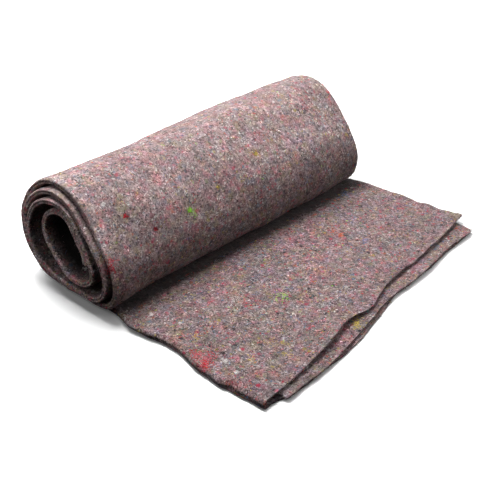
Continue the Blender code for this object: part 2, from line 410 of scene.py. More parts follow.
def free_ends(across):
    """Y of the free edge at every column."""
    x = across + NEAR_CORNER_X
    top, middle, bottom = (end_line(t, x) for t in (TOP_END, MIDDLE_END, BOTTOM_END))
    ends = np.where(PARTS == "top", top, 0.0)
    ends = np.where(PARTS == "near fold", mix(top, bottom, SHARES), ends)
    ends = np.where(PARTS == "bottom", bottom, ends)
    ends = np.where(PARTS == "far fold", mix(bottom, middle, SHARES), ends)
    ends = np.where(PARTS == "middle", middle, ends)
    layer = np.select(
        [PARTS == "top", PARTS == "middle"], [TOP_NOISE, MIDDLE_NOISE], BOTTOM_NOISE
    )
    spots = np.stack((across, layer, layer), axis=1)
    wave = sum(share * noise_at(spots, size, seed) for share, size, seed in RAGGED_WAVES)
    return ends + RAGGED * wave


print(len(EDGE_LIFTS), "places where the top edge stands up,", RAGGED * 1000, "mm of ragged edge")

# %% The flat part
SWELL = 0.0013
# share, size and seed of the broad and the small swells
SWELLS = ((0.5, 0.075, 12.0), (0.28, 0.026, 14.0))
TUCKED_SWELL = 0.35
LIFT_CURVE = 1.5
LEAN_REACH = 0.05


def lift_of(table, x, inside):
    """Height that an edge stands up, at distances inside the edge."""
    total = np.zeros_like(x)
    for place, height, width, depth in table:
        along = np.exp(-((x - place) / width) ** 2)
        total += height * along * (1.0 - smooth_step(inside / depth)) ** LIFT_CURVE
    return total


def flat_row(reach):
    """All columns of one row of the flat end: 0 under the roll, 1 at the free edge."""
    across, _ = folded_places(FLAT_PITCH, 0.0, PANEL_WIDTH, PANEL_WIDTH)
    across = np.clip(across, 0.0, PANEL_WIDTH)
    ends = free_ends(across)
    start_y = RINGS[0, CENTRE_Y] + FAR_END_DRIFT_Y * across / PANEL_WIDTH
    y = mix(start_y, ends, reach)
    loose = smooth_step((y - LOOSE_FROM_Y) / (LOOSE_BY_Y - LOOSE_FROM_Y))
    pitch = mix(ROLLED_PITCH, FLAT_PITCH, loose)
    near_top, near_floor, far, top_edge = (
        side_line(line, y)
        for line in (NEAR_TOP_LINE, NEAR_FLOOR_LINE, FAR_FOLD_LINE, TOP_SIDE_LINE)
    )
    x, height = folded_places(pitch, near_floor, far, top_edge)
    lean = (near_top - near_floor) * (height + pitch) / (2.0 * pitch)
    x += lean * (1.0 - smooth_step((x - near_floor) / LEAN_REACH))
    z = pitch + FELT_THICKNESS / 2.0 + height
    spots = np.stack((x, y, np.zeros_like(x)), axis=1)
    swell = sum((part * noise_at(spots, size, seed) for part, size, seed in SWELLS), 0.5)
    share = np.select([PARTS == "top", PARTS == "middle"], [1.0, TUCKED_SWELL], 0.0)
    share = np.where(PARTS == "near fold", 1.0 - smooth_step(SHARES), share)
    z += SWELL * loose * share * swell
    inside = y - ends
    z += np.where(PARTS == "top", lift_of(EDGE_LIFTS, x, inside), 0.0)
    z += np.where(PARTS == "middle", lift_of(TUCKED_LIFTS, x, inside), 0.0)
    return np.column_stack((x, y, z))


print("flat end stands", round(float(flat_row(0.9)[:, 2].max()) * 1000, 1), "mm high")

# %% [markdown]
# ## The sheet
# A plain grid holds the felt's middle surface: one row for each place along
# the blanket, one column for each place along the fold. A Solidify modifier
# gives it the real thickness, so all layers, turns and cut edges stay one
# piece of cloth. A narrow bevel rounds the cut edges, because felt fibres
# never leave a sharp corner.

# %% Rows of the mesh along the blanket
CURVE_ERROR = 0.00015
FLAT_ROWS = 58


def along_steps():
    """Places along the blanket, closer together at the free edge and on tight turns."""
    edge = (0.0, 0.004, 0.009, 0.016, 0.025)
    inner = np.linspace(0.04, 1.0, FLAT_ROWS)[:-1]
    steps = [("flat", 1.0 - share) for share in (*edge, *inner)]
    angle = FIRST_ANGLE
    while angle < LAST_ANGLE:
        steps.append(("wound", angle))
        angle += math.degrees(math.sqrt(8.0 * CURVE_ERROR / ring_at(angle)[RADIUS]))
    steps.append(("wound", LAST_ANGLE))
    return steps


print(len(along_steps()), "rows along the blanket")

# %% Every place on the felt
def felt_places():
    """Every row and column of the felt's middle surface."""
    rows = []
    for zone, place in along_steps():
        rows.append(flat_row(place) if zone == "flat" else wound_row(place))
    return np.array(rows) - FOOTPRINT_MIDDLE


def cloth_distances(places):
    """How far each column and each row is along the flat cloth, in metres."""
    def run(points):
        steps = np.linalg.norm(np.diff(points, axis=0), axis=1)
        return np.concatenate(([0.0], np.cumsum(steps)))
    across = run(places[places.shape[0] // 3])
    along = run(places[:, places.shape[1] // 2])
    return across / across[-1] * CLOTH_WIDTH, along / along[-1] * CLOTH_LENGTH


places = felt_places()
print(places.shape[0], "rows of", places.shape[1], "places")

# %% The grid, and its modifiers made real
def felt_mesh(places):
    """The folded and wound grid, with its place on the flat cloth as a UV map."""
    rows, columns = places.shape[:2]
    across, along = cloth_distances(places)
    mesh = bpy.data.meshes.new("felt")
    shape = bmesh.new()
    bmesh.ops.create_grid(shape, x_segments=columns - 1, y_segments=rows - 1, size=1.0)
    spots = {}
    for vert in shape.verts:
        column = round((vert.co.x + 1.0) / 2.0 * (columns - 1))
        row = round((vert.co.y + 1.0) / 2.0 * (rows - 1))
        vert.co = places[row, column]
        spots[vert] = (across[column], along[row])
    cloth = shape.loops.layers.uv.new("cloth")
    for face in shape.faces:
        for corner in face.loops:
            corner[cloth].uv = spots[corner.vert]
    shape.to_mesh(mesh)
    shape.free()
    mesh.shade_smooth()
    return mesh


def finished(thing):
    """Apply a piece's modifiers to its mesh."""
    graph = bpy.context.evaluated_depsgraph_get()
    mesh = bpy.data.meshes.new_from_object(
        thing.evaluated_get(graph), preserve_all_data_layers=True, depsgraph=graph
    )
    thing.modifiers.clear()
    thing.data = mesh


grid = felt_mesh(places)
print("grid of", len(grid.polygons), "faces")

# %% The felt blanket
EDGE_ROUNDING, SHARP_ANGLE = 0.0007, math.radians(60)
felt = bpy.data.objects.new("felt_blanket", grid)
bpy.context.scene.collection.objects.link(felt)
for finish in ("outer_face", "inner_face", "cut_edge"):
    felt.data.materials.append(bpy.data.materials.new(finish))
thickness = felt.modifiers.new("felt thickness", "SOLIDIFY")
thickness.thickness = FELT_THICKNESS
thickness.offset = 0.0
thickness.use_even_offset = True
thickness.material_offset = 1
thickness.material_offset_rim = 2
rounding = felt.modifiers.new("soft cut edge", "BEVEL")
rounding.width = EDGE_ROUNDING
rounding.segments = 2
rounding.limit_method = "ANGLE"
rounding.angle_limit = SHARP_ANGLE
finished(felt)
felt.data.shade_smooth()
print("felt", sum(len(face.vertices) - 2 for face in felt.data.polygons), "triangles")
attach(felt, "root")
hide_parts("moving_blanket")

# %% [markdown]
# ## A finish for recycled felt
# The waste cloth is torn to fibres of every colour, so from a step away the
# felt looks mauve grey, and close up it is a mix of pale, brown and charcoal
# fibre with red, yellow, green, blue and white specks. A picture texture
# would blur close up and repeat. Noise that reads places in metres keeps the
# scale real, and colour ramps hold the mix like a recipe. The finish is built
# in layers. Each layer is a small function that takes the colour so far and
# gives it back with something added, so it can be changed on its own.

# %% Short ways to add shader nodes
def add_node(tree, kind, inputs=None, **settings):
    node = tree.nodes.new("ShaderNode" + kind)
    for name, value in settings.items():
        setattr(node, name, value)
    for name, value in (inputs or {}).items():
        if isinstance(value, bpy.types.NodeSocket):
            tree.links.new(value, node.inputs[name])
        else:
            node.inputs[name].default_value = value
    return node


def add_ramp(tree, value, steps, interpolation="LINEAR"):
    """Colour ramp from (position, colour) steps. A colour may be one grey number."""
    node = add_node(tree, "ValToRGB", {"Fac": value})
    ramp = node.color_ramp
    ramp.interpolation = interpolation
    while len(ramp.elements) < len(steps):
        ramp.elements.new(1.0)
    for element, (position, colour) in zip(ramp.elements, steps):
        element.position = position
        if not isinstance(colour, tuple):
            colour = (colour, colour, colour)
        element.color = (*colour, 1.0)
    return node.outputs["Color"]


print("ways to add nodes:", add_node.__name__, "and", add_ramp.__name__)

# %% Short ways to reckon with values and colours
def maths(tree, operation, first, second=0.0):
    return add_node(tree, "Math", {0: first, 1: second}, operation=operation).outputs[0]


def times(tree, first, second):
    return maths(tree, "MULTIPLY", first, second)


def vector_maths(tree, operation, inputs, output=0):
    return add_node(tree, "VectorMath", inputs, operation=operation).outputs[output]


def blend(tree, share, first, second, mode="MIX"):
    node = add_node(
        tree, "Mix", {0: share, 6: first, 7: second}, data_type="RGBA", blend_type=mode
    )
    return node.outputs[2]


def toned(tree, colour, tone, share=1.0):
    """The colour multiplied by a tone, wholly or by a share."""
    return blend(tree, share, colour, tone, "MULTIPLY")


def toned_by(tree, colour, value, steps, share=1.0):
    """The colour multiplied by the tone that a ramp gives for a value."""
    return toned(tree, colour, add_ramp(tree, value, steps), share)


def noise_node(tree, where, scale, detail, roughness=0.5, output="Fac"):
    sizes = {"Vector": where, "Scale": scale, "Detail": detail, "Roughness": roughness}
    return add_node(tree, "TexNoise", sizes).outputs[output]


def cells(tree, where, scale):
    """Small cells: two random values for each, and the distance from its middle."""
    node = add_node(tree, "TexVoronoi", {"Vector": where, "Scale": scale})
    pick = add_node(tree, "SeparateColor", {0: node.outputs["Color"]})
    return pick.outputs["Red"], pick.outputs["Green"], node.outputs["Distance"]


print("ways to tone a colour:", blend.__name__, toned.__name__, "and", toned_by.__name__)

# %% What every layer reads
NEAR_END = float(FOOTPRINT_MIDDLE[0])
HEIGHT_SCALE = 5.0
# how loose the fibres lie, at HEIGHT_SCALE times the height: the roll is rubbed flat
MATTED = ((0.10, 1.0), (0.40, 0.62))
CURL_SIZE, CURL_SCALE = 0.0045, 260.0
FINE_SCALE = 900.0


def readings(tree):
    """Places in metres, plain and with the small wobble of curly fibre, and more."""
    place = add_node(tree, "TexCoord").outputs["Object"]
    split = add_node(tree, "SeparateXYZ", {0: place})
    height = times(tree, split.outputs["Z"], HEIGHT_SCALE)
    along = maths(tree, "ADD", split.outputs["X"], NEAR_END)
    curl = noise_node(tree, place, CURL_SCALE, 2.0, output="Color")
    curl = vector_maths(tree, "SUBTRACT", {0: curl, 1: (0.5, 0.5, 0.5)})
    curl = vector_maths(tree, "SCALE", {0: curl, "Scale": CURL_SIZE})
    curly = vector_maths(tree, "ADD", {0: place, 1: curl})
    return {
        "place": place,
        "x": split.outputs["X"],
        "y": split.outputs["Y"],
        "height": height,
        "from_near": times(tree, along, 0.5 / NEAR_END),
        "loose": add_ramp(tree, height, MATTED),
        "curly": curly,
        "fine": noise_node(tree, curly, FINE_SCALE, 3.0, 0.7),
        "cloth": add_node(tree, "UVMap", uv_map="cloth").outputs["UV"],
    }


print("near end at x", -NEAR_END, "m, curls of", CURL_SIZE * 1000, "mm")

# %% [markdown]
# ## The mix of fibres
# Carding pulls the torn waste into small bunches of one colour. Cell noise
# gives every bunch a random number, and a ramp turns the number into a
# colour. The wider a step of the ramp, the more of that fibre is in the mix.
# Then larger noise tints whole areas a little, because batches of reddish,
# greenish, bluish and yellowish waste are never mixed well.

# %% Fibre colours and drifts of tint
# each row is where its share of the mix starts, and its colour
FIBRE_MIX = (
    (0.00, (0.030, 0.022, 0.026)),
    (0.06, (0.095, 0.062, 0.064)),
    (0.18, (0.170, 0.112, 0.112)),
    (0.34, (0.230, 0.151, 0.149)),
    (0.52, (0.265, 0.177, 0.173)),
    (0.72, (0.300, 0.205, 0.199)),
    (0.88, (0.345, 0.250, 0.243)),
    (0.965, (0.430, 0.345, 0.335)),
    (0.993, (0.560, 0.510, 0.490)),
)
RED_TO_GREEN = (
    (0.30, (0.88, 1.07, 1.03)), (0.42, (0.97, 1.02, 1.01)), (0.54, (1.0, 0.99, 1.0)),
    (0.64, (1.08, 0.90, 0.95)), (0.74, (1.22, 0.72, 0.82)),
)
BLUE_TO_YELLOW = (
    (0.28, (0.90, 0.97, 1.16)), (0.42, (0.98, 1.0, 1.03)), (0.56, (1.0, 1.0, 0.99)),
    (0.66, (1.01, 1.0, 0.86)), (0.76, (1.03, 1.0, 0.62)),
)
# noise scale and strength of the small and the broad drifts
DRIFTS = ((82.0, 1.0), (34.0, 0.60))
BUNCH_SCALE = 560.0
FINE_TONES = ((0.32, 0.55), (0.50, 0.98), (0.68, 1.40))


def mixed(tree, read):
    """A colour for each bunch, with fine light and shade between its fibres."""
    bunch, _, _ = cells(tree, read["curly"], BUNCH_SCALE)
    return toned_by(tree, add_ramp(tree, bunch, FIBRE_MIX), read["fine"], FINE_TONES)


def drifted(tree, colour, read):
    """Batches of waste that tint whole areas."""
    for scale, strength in DRIFTS:
        batch = noise_node(tree, read["place"], scale, 1.0, output="Color")
        pick = add_node(tree, "SeparateColor", {0: batch})
        share = times(tree, read["loose"], strength)
        for channel, steps in (("Red", RED_TO_GREEN), ("Green", BLUE_TO_YELLOW)):
            colour = toned_by(tree, colour, pick.outputs[channel], steps, share)
    return colour


print(len(FIBRE_MIX), "fibre colours in the mix")

# %% [markdown]
# ## Streaks, patches and specks
# Long fibres show as thin streaks that lie every way. Noise on the flat
# cloth's own map, squeezed to one side, draws them, and four turned copies
# cross each other. Patches and specks are cells again: only a few cells are
# shown, and torn edges come from the fine noise. The specks are the bits of
# red, yellow, blue, black and white cloth that people notice first.

# %% Streaks
# turn in radians and shift of each set of streaks
STREAKS = ((0.35, 0.0), (1.25, 3.1), (1.95, 5.3), (2.70, 7.7))
STREAK_SCALE = (105.0, 600.0, 1.0)
STREAK_TONES = ((0.30, 0.40), (0.43, 0.98), (0.57, 1.0), (0.70, 1.75))
STREAK_STRENGTH = 0.85


def streaked(tree, colour, read):
    """Long fibres that lie every way on the cloth."""
    share = times(tree, read["loose"], STREAK_STRENGTH)
    for turn, shift in STREAKS:
        turned = add_node(tree, "Mapping", {
            "Vector": read["cloth"], "Location": (shift, 0.0, 0.0), "Rotation": (0.0, 0.0, turn),
        })
        drawn = add_node(tree, "Mapping", {"Vector": turned.outputs[0], "Scale": STREAK_SCALE})
        streak = add_node(tree, "TexNoise", {
            "Vector": drawn.outputs[0], "Scale": 1.0, "Detail": 1.5, "Distortion": 0.9,
        })
        colour = toned_by(tree, colour, streak.outputs["Fac"], STREAK_TONES, share)
    return colour


print(len(STREAKS), "sets of streaks")

# %% Patches
PATCH_COLOURS = (
    (0.00, (0.310, 0.110, 0.135)),
    (0.24, (0.150, 0.160, 0.195)),
    (0.44, (0.240, 0.195, 0.100)),
    (0.58, (0.085, 0.075, 0.088)),
    (0.86, (0.380, 0.310, 0.300)),
)
PATCH_SCALE, PATCH_STRENGTH = 95.0, 0.90


def patched(tree, colour, read):
    """Soft patches where one batch of waste was thicker."""
    _, pick, distance = cells(tree, read["curly"], PATCH_SCALE)
    middle = add_ramp(tree, distance, ((0.18, 1.0), (0.62, 0.0)))
    torn = add_ramp(tree, read["fine"], ((0.40, 0.0), (0.62, 1.0)))
    share = times(tree, times(tree, middle, torn), PATCH_STRENGTH)
    return blend(tree, share, colour, add_ramp(tree, pick, PATCH_COLOURS, "CONSTANT"))


print(len(PATCH_COLOURS), "patch colours, patches about", round(1000 / PATCH_SCALE, 1), "mm apart")

# %% Specks
SPECK_COLOURS = (
    (0.00, (0.360, 0.035, 0.070)),
    (0.18, (0.400, 0.105, 0.150)),
    (0.34, (0.340, 0.090, 0.045)),
    (0.41, (0.300, 0.230, 0.060)),
    (0.51, (0.200, 0.210, 0.120)),
    (0.58, (0.085, 0.140, 0.210)),
    (0.66, (0.080, 0.135, 0.120)),
    (0.72, (0.018, 0.016, 0.022)),
    (0.94, (0.560, 0.530, 0.510)),
)
# cell scale, reach from the cell's middle, and share of cells left plain
SPECKS = ((330.0, 0.55, 0.94), (215.0, 0.55, 0.91), (135.0, 0.50, 0.92))


def specked(tree, colour, read):
    """Bright specks in three sizes."""
    for scale, reach, plain in SPECKS:
        chance, pick, distance = cells(tree, read["curly"], scale)
        near = add_ramp(tree, distance, ((reach * 0.6, 1.0), (reach, 0.0)))
        shown = times(tree, near, maths(tree, "GREATER_THAN", chance, plain))
        share = times(tree, shown, read["loose"])
        colour = blend(tree, share, colour, add_ramp(tree, pick, SPECK_COLOURS, "CONSTANT"))
    return colour


print("speck cells of", [round(1000 / scale, 1) for scale, _, _ in SPECKS], "mm")

# %% [markdown]
# ## Painted light and shade
# Some of the light and shade on the roll is painted into the felt's colour.
# The top of the roll is painted lighter, most of all near its near end, and
# a little darker at its far end. The fold lines get painted highlights on
# both shoulders, with a painted dark groove between, brighter still low on
# the roll. Painted shade darkens the wedge where the roll meets the free end.
# Such places could be painted by hand on a map, but then a new roll would need
# a new painting. Here each tone follows from a place: the height, the way
# along the roll, or the distance from the fold on the flat cloth.

# %% Tones that follow from the place
# at HEIGHT_SCALE times the height in metres
# painted light: the felt is lighter towards the top of the roll
TOP_LIGHT_TONES = (
    (0.07, 0.98), (0.20, (1.05, 1.09, 1.09)), (0.40, (1.44, 1.48, 1.47)),
    (0.62, (1.58, 1.63, 1.62)), (0.85, (1.15, 1.17, 1.16)),
)
# painted highlight on the fold rims low on the roll
LOW_RIM_HIGHLIGHT = ((0.07, 1.0), (0.11, 1.9), (0.45, 1.9), (0.68, 1.0), (0.80, 0.85))
TOP_OF_ROLL = ((0.50, 0.0), (0.68, 1.0))
FREE_END_ONLY = ((0.062, 1.0), (0.085, 0.0))
# along the roll, from its near end at 0 to its far end at 1
# painted light and shade on top of the roll: lighter near the near end, darker at the far end
TOP_LIGHT_ALONG_ROLL = ((0.0, 1.15), (0.047, 1.30), (0.113, 1.0), (0.84, 1.0), (0.97, 0.80))
PAST_NEAR_EDGE = ((0.03, 0.0), (0.06, 1.0))
# at a hundred times the distance from the near fold
# painted highlights on the fold's shoulders and painted shade in its groove
FOLD_LIGHT_AND_SHADE = ((0.05, 0.12), (0.15, 0.70), (0.24, 1.35), (0.42, 1.10), (0.62, 1.0))
ON_FOLD = ((0.40, 1.0), (0.62, 0.0))
# at ten times the distance towards the roll, which lies a little askew
# painted shade in the wedge where the roll meets the free end
WEDGE_SHADE = ((0.10, 1.0), (0.17, 0.62), (0.23, 0.20), (0.80, 0.20), (1.0, 1.0))
ROLL_SKEW = 0.076

NEAR_FOLD_COLUMN = int(np.flatnonzero((PARTS == "near fold") & (SHARES == 0.5))[0])
NEAR_FOLD_AT = float(cloth_distances(places)[0][NEAR_FOLD_COLUMN])
print("near fold at", round(NEAR_FOLD_AT, 4), "m across the flat cloth")

# %% Layers of painted light and shade on the roll, its folds and the wedge
def painted_top_light(tree, colour, read):
    """Painted light: the top of the roll is lighter than the free end."""
    return toned_by(tree, colour, read["height"], TOP_LIGHT_TONES)


def folded(tree, colour, read):
    """The near fold: painted highlights on its shoulders, painted shade in its groove."""
    across = add_node(tree, "SeparateXYZ", {0: read["cloth"]}).outputs["X"]
    off_fold = maths(tree, "ABSOLUTE", maths(tree, "SUBTRACT", across, NEAR_FOLD_AT))
    off_fold = times(tree, off_fold, 100.0)
    colour = toned_by(tree, colour, off_fold, FOLD_LIGHT_AND_SHADE)
    return toned_by(tree, colour, read["height"], LOW_RIM_HIGHLIGHT, add_ramp(tree, off_fold, ON_FOLD))


def painted_light_along_top(tree, colour, read):
    """Painted light and shade on top: lighter near the near end, darker at the far end."""
    on_top = add_ramp(tree, read["height"], TOP_OF_ROLL)
    return toned_by(tree, colour, read["from_near"], TOP_LIGHT_ALONG_ROLL, on_top)


def painted_wedge_shade(tree, colour, read):
    """Painted shade in the wedge where the roll meets the free end."""
    askew = times(tree, read["x"], ROLL_SKEW)
    towards_roll = times(tree, maths(tree, "ADD", read["y"], askew), 10.0)
    low = add_ramp(tree, read["height"], FREE_END_ONLY)
    inside = add_ramp(tree, read["from_near"], PAST_NEAR_EDGE)
    return toned_by(tree, colour, towards_roll, WEDGE_SHADE, times(tree, low, inside))


print(len(TOP_LIGHT_TONES), "tones from the floor to the top of the roll")

# %% [markdown]
# ## The dark core
# Light that falls into the core is swallowed by the felt, turn by turn, and a
# few centimetres in it is nearly black. Soft lamps alone left it too pale
# here, and an exported model may be shown with no shadows at all. So the felt
# itself is toned down there, by its distance from the middle of the roll and
# its depth.

# %% Tone inside the core
ROLL_MIDDLE = np.array((0.004, 0.093)) - FOOTPRINT_MIDDLE[1:]
# at ten times the distance from the roll's middle line
IN_CORE = ((0.45, 1.0), (0.62, 0.0))
# at twenty times the depth from the roll's end
CORE_DEPTH = ((0.12, 1.2), (0.27, 0.42), (0.44, 0.02))


def deep(tree, colour, read):
    """Less and less light from the rim to the middle of the core."""
    off = vector_maths(tree, "SUBTRACT", {0: read["place"], 1: (0.0, *ROLL_MIDDLE.tolist())})
    off = vector_maths(tree, "MULTIPLY", {0: off, 1: (0.0, 1.0, 1.0)})
    off = vector_maths(tree, "LENGTH", {0: off}, "Value")
    in_core = add_ramp(tree, times(tree, off, 10.0), IN_CORE)
    depth = maths(tree, "SUBTRACT", NEAR_END, maths(tree, "ABSOLUTE", read["x"]))
    return toned_by(tree, colour, times(tree, depth, 20.0), CORE_DEPTH, in_core)


print("core middle at y, z", np.round(ROLL_MIDDLE, 4), "m")

# %% [markdown]
# ## The whole finish
# Felt is dull, but its matted fibres catch a pale bloom at grazing angles,
# which the shader's sheen gives. Small dents and single fibres are too small
# to model on the whole sheet, so two bumps carry them: one for soft dents and
# one for the fibres. The two faces of the sheet and its cut edge get the same
# layers, each with a tone of its own. The inner face is a little darker and the
# cut edge darkest: that is painted shade.

# %% Felt finish
LAYERS = (drifted, streaked, patched, specked, painted_top_light, folded, painted_light_along_top, painted_wedge_shade, deep)
DENT_SCALE, LUMP_SCALE, LUMP_SHARE = 62.0, 190.0, 2.2
CLOUD_SCALE, CLOUDS = 42.0, ((0.33, 0.80), (0.67, 1.18))
# tone of each face; the darker inner face and cut edge are painted shade
FACE_TONES_AND_SHADE = (("outer_face", 0.71), ("inner_face", 0.65), ("cut_edge", 0.58))
DULL = (
    ("Specular IOR Level", 0.15), ("Sheen Weight", 0.18), ("Sheen Roughness", 0.55),
    ("Sheen Tint", (1.0, 0.88, 0.87, 1.0)),
)


def relief(tree, read):
    """Soft dents, and matted fibres and lumps on top of them."""
    dents = noise_node(tree, read["place"], DENT_SCALE, 2.0)
    dented = add_node(tree, "Bump", {"Height": dents, "Strength": 0.6, "Distance": 0.0030})
    lump = noise_node(tree, read["place"], LUMP_SCALE, 3.0, 0.65)
    fibres = maths(tree, "ADD", read["fine"], times(tree, lump, LUMP_SHARE))
    return add_node(tree, "Bump", {
        "Height": fibres, "Strength": 0.75, "Distance": 0.0007, "Normal": dented.outputs[0],
    }).outputs["Normal"]


def felt_finish(material, tone):
    material.use_nodes = True
    tree = material.node_tree
    shader = tree.nodes["Principled BSDF"]
    read = readings(tree)
    colour = mixed(tree, read)
    for layer in LAYERS:
        colour = layer(tree, colour, read)
    cloud = noise_node(tree, read["place"], CLOUD_SCALE, 4.0, 0.6)
    colour = toned_by(tree, colour, cloud, CLOUDS)
    colour = toned(tree, colour, (tone, tone, tone, 1.0))
    rough = add_ramp(tree, read["fine"], ((0.3, 0.86), (0.7, 1.0)))
    tree.links.new(colour, shader.inputs["Base Color"])
    tree.links.new(rough, shader.inputs["Roughness"])
    tree.links.new(relief(tree, read), shader.inputs["Normal"])
    for name, value in DULL:
        shader.inputs[name].default_value = value


for name, tone in FACE_TONES_AND_SHADE:
    felt_finish(bpy.data.materials[name], tone)
print("felt materials", [material.name for material in felt.data.materials])

# %% [markdown]
# ## Where loose fibres can lie
# Needled felt sheds: single fibres lie on its faces and stand out of its cut
# edges. They can only be seen where air reaches the surface, not between the
# pressed layers. A ray from each triangle along its normal tells which ones
# are open. Ray tests are quick and need no list of faces, so they still hold
# if a fold moves. Fibres are then spread by area, with fewer on the roll,
# where they are rubbed flat, and hardly any inside it. A fixed seed makes the
# same blanket every time.

# %% Random open places on the felt
RANDOM = np.random.default_rng(1907)
OPEN_AIR = 0.020
START_OFF = 0.0003
OFF_FLOOR = 0.0012


def read_mesh(mesh):
    mesh.calc_loop_triangles()
    points = np.empty(len(mesh.vertices) * 3)
    mesh.vertices.foreach_get("co", points)
    corners = np.empty(len(mesh.loop_triangles) * 3, dtype=np.int32)
    mesh.loop_triangles.foreach_get("vertices", corners)
    slots = np.empty(len(mesh.loop_triangles), dtype=np.int32)
    mesh.loop_triangles.foreach_get("material_index", slots)
    return points.reshape(-1, 3), corners.reshape(-1, 3), slots


FELT_POINTS, FELT_TRIANGLES, FELT_SLOTS = read_mesh(felt.data)
FELT_TREE = BVHTree.FromPolygons(FELT_POINTS.tolist(), FELT_TRIANGLES.tolist())


def open_triangles():
    """Triangles with open air in front of them, and their normals and areas."""
    a, b, c = (FELT_POINTS[FELT_TRIANGLES[:, corner]] for corner in range(3))
    cross = np.cross(b - a, c - a)
    size = np.maximum(np.linalg.norm(cross, axis=1), 1e-12)
    outwards = cross / size[:, None]
    centres = (a + b + c) / 3.0
    is_open = np.array([
        centre[2] > OFF_FLOOR
        and FELT_TREE.ray_cast(Vector(centre + out * START_OFF), Vector(out), OPEN_AIR)[0] is None
        for centre, out in zip(centres, outwards)
    ])
    return np.flatnonzero(is_open), outwards, size / 2.0


OPEN, OUTWARDS, AREAS = open_triangles()
print(len(OPEN), "open triangles")

# %% Fewer fibres on the roll and inside it
INSIDE_SHARE, INSIDE_REACH = 0.05, 0.105
RUBBED_SHARE, RUBBED_ABOVE = 0.50, 0.03


def chances():
    """Chance of a fibre on each triangle: its area, and less on and inside the roll."""
    middles = FELT_POINTS[FELT_TRIANGLES].mean(axis=1)[:, 1:]
    from_axis = middles - ROLL_MIDDLE
    towards = (from_axis * OUTWARDS[:, 1:]).sum(axis=1) < 0.0
    inside = towards & (np.linalg.norm(from_axis, axis=1) < INSIDE_REACH)
    on_roll = np.where(middles[:, 1] > RUBBED_ABOVE, RUBBED_SHARE, 1.0)
    return AREAS * np.where(inside, INSIDE_SHARE, on_roll)


CHANCES = chances()


def open_places(density, slots=(0, 1, 2)):
    """Open places with their outward directions, so many to a square metre."""
    chosen = OPEN[np.isin(FELT_SLOTS[OPEN], slots)]
    area = CHANCES[chosen]
    count = int(density * area.sum())
    drawn = chosen[RANDOM.choice(len(chosen), count, p=area / area.sum())]
    a, b, c = (FELT_POINTS[FELT_TRIANGLES[drawn, corner]] for corner in range(3))
    first, second = RANDOM.random((2, count))
    over = first + second > 1.0
    first[over], second[over] = 1.0 - first[over], 1.0 - second[over]
    return a + (b - a) * first[:, None] + (c - a) * second[:, None], OUTWARDS[drawn]


print("as if", round(CHANCES[OPEN].sum(), 3), "square metres to cover")

# %% [markdown]
# ## Making strands
# Hair particles are Blender's usual way to scatter fibres, but they don't
# stay with the mesh when a model is exported. So each fibre is a thin closed
# strand: two tips and one or two rings of three points. It carries a UV map
# that says how far along the fibre a point is and which shade it has. All
# strands share one strip of shades, so one material serves them all.

# %% The strip of shades
# name, place where the shade starts in the strip, and colour
SHADES = (
    ("charcoal", 0.00, (0.022, 0.018, 0.022)),
    ("brown",    0.12, (0.095, 0.055, 0.050)),
    ("mauve",    0.24, (0.220, 0.140, 0.148)),
    ("pale",     0.40, (0.350, 0.265, 0.258)),
    ("white",    0.56, (0.640, 0.600, 0.580)),
    ("red",      0.66, (0.600, 0.016, 0.036)),
    ("pink",     0.72, (0.500, 0.115, 0.155)),
    ("orange",   0.77, (0.560, 0.110, 0.025)),
    ("yellow",   0.81, (0.540, 0.420, 0.080)),
    ("green",    0.86, (0.320, 0.690, 0.080)),
    ("teal",     0.90, (0.060, 0.210, 0.200)),
    ("blue",     0.94, (0.100, 0.180, 0.380)),
    ("end",      1.00, (0.100, 0.180, 0.380)),
)
SHADE_ROWS = {
    row[0]: (row[1], following[1]) for row, following in zip(SHADES, SHADES[1:])
}


def shade_rows(names, shares, count):
    """A random place in the strip of shades for each strand."""
    picks = RANDOM.choice(len(names), count, p=np.array(shares) / sum(shares))
    low = np.array([SHADE_ROWS[name][0] for name in names])[picks]
    high = np.array([SHADE_ROWS[name][1] for name in names])[picks]
    return low + (high - low) * RANDOM.uniform(0.1, 0.9, count)


print(len(SHADE_ROWS), "shades:", ", ".join(SHADE_ROWS))

# %% Strands from lines of points
def strand_shape(steps):
    """Triangles of one closed strand with a tip at both ends and rings between."""
    last = 1 + 3 * (steps - 2)
    shape = [(0, 1 + (k + 1) % 3, 1 + k) for k in range(3)]
    for low in range(1, last - 3, 3):
        for k in range(3):
            after = (k + 1) % 3
            shape.append((low + k, low + after, low + 3 + after))
            shape.append((low + k, low + 3 + after, low + 3 + k))
    shape += [(last - 3 + k, last - 3 + (k + 1) % 3, last) for k in range(3)]
    return np.array(shape)


def strand_bodies(lines, outwards, radii):
    """Tip, rings and tip of every strand."""
    steps = lines.shape[1]
    ahead = lines[:, -1] - lines[:, 0]
    aside = np.cross(outwards, ahead)
    aside /= np.linalg.norm(aside, axis=1)[:, None]
    rings = []
    for step in range(1, steps - 1):
        slim = 1.0 if steps == 3 else math.sin(math.pi * step / (steps - 1)) ** 0.5
        for turn in np.radians((90.0, 210.0, 330.0)):
            reach = outwards * math.sin(turn) + aside * math.cos(turn)
            rings.append(lines[:, step] + reach * (radii * slim)[:, None])
    return np.stack([lines[:, 0], *rings, lines[:, -1]], axis=1)


print(len(strand_shape(3)), "triangles in a short strand,", len(strand_shape(4)), "in a long one")

# %% One mesh for many strands
ABOVE_FLOOR = 0.0002


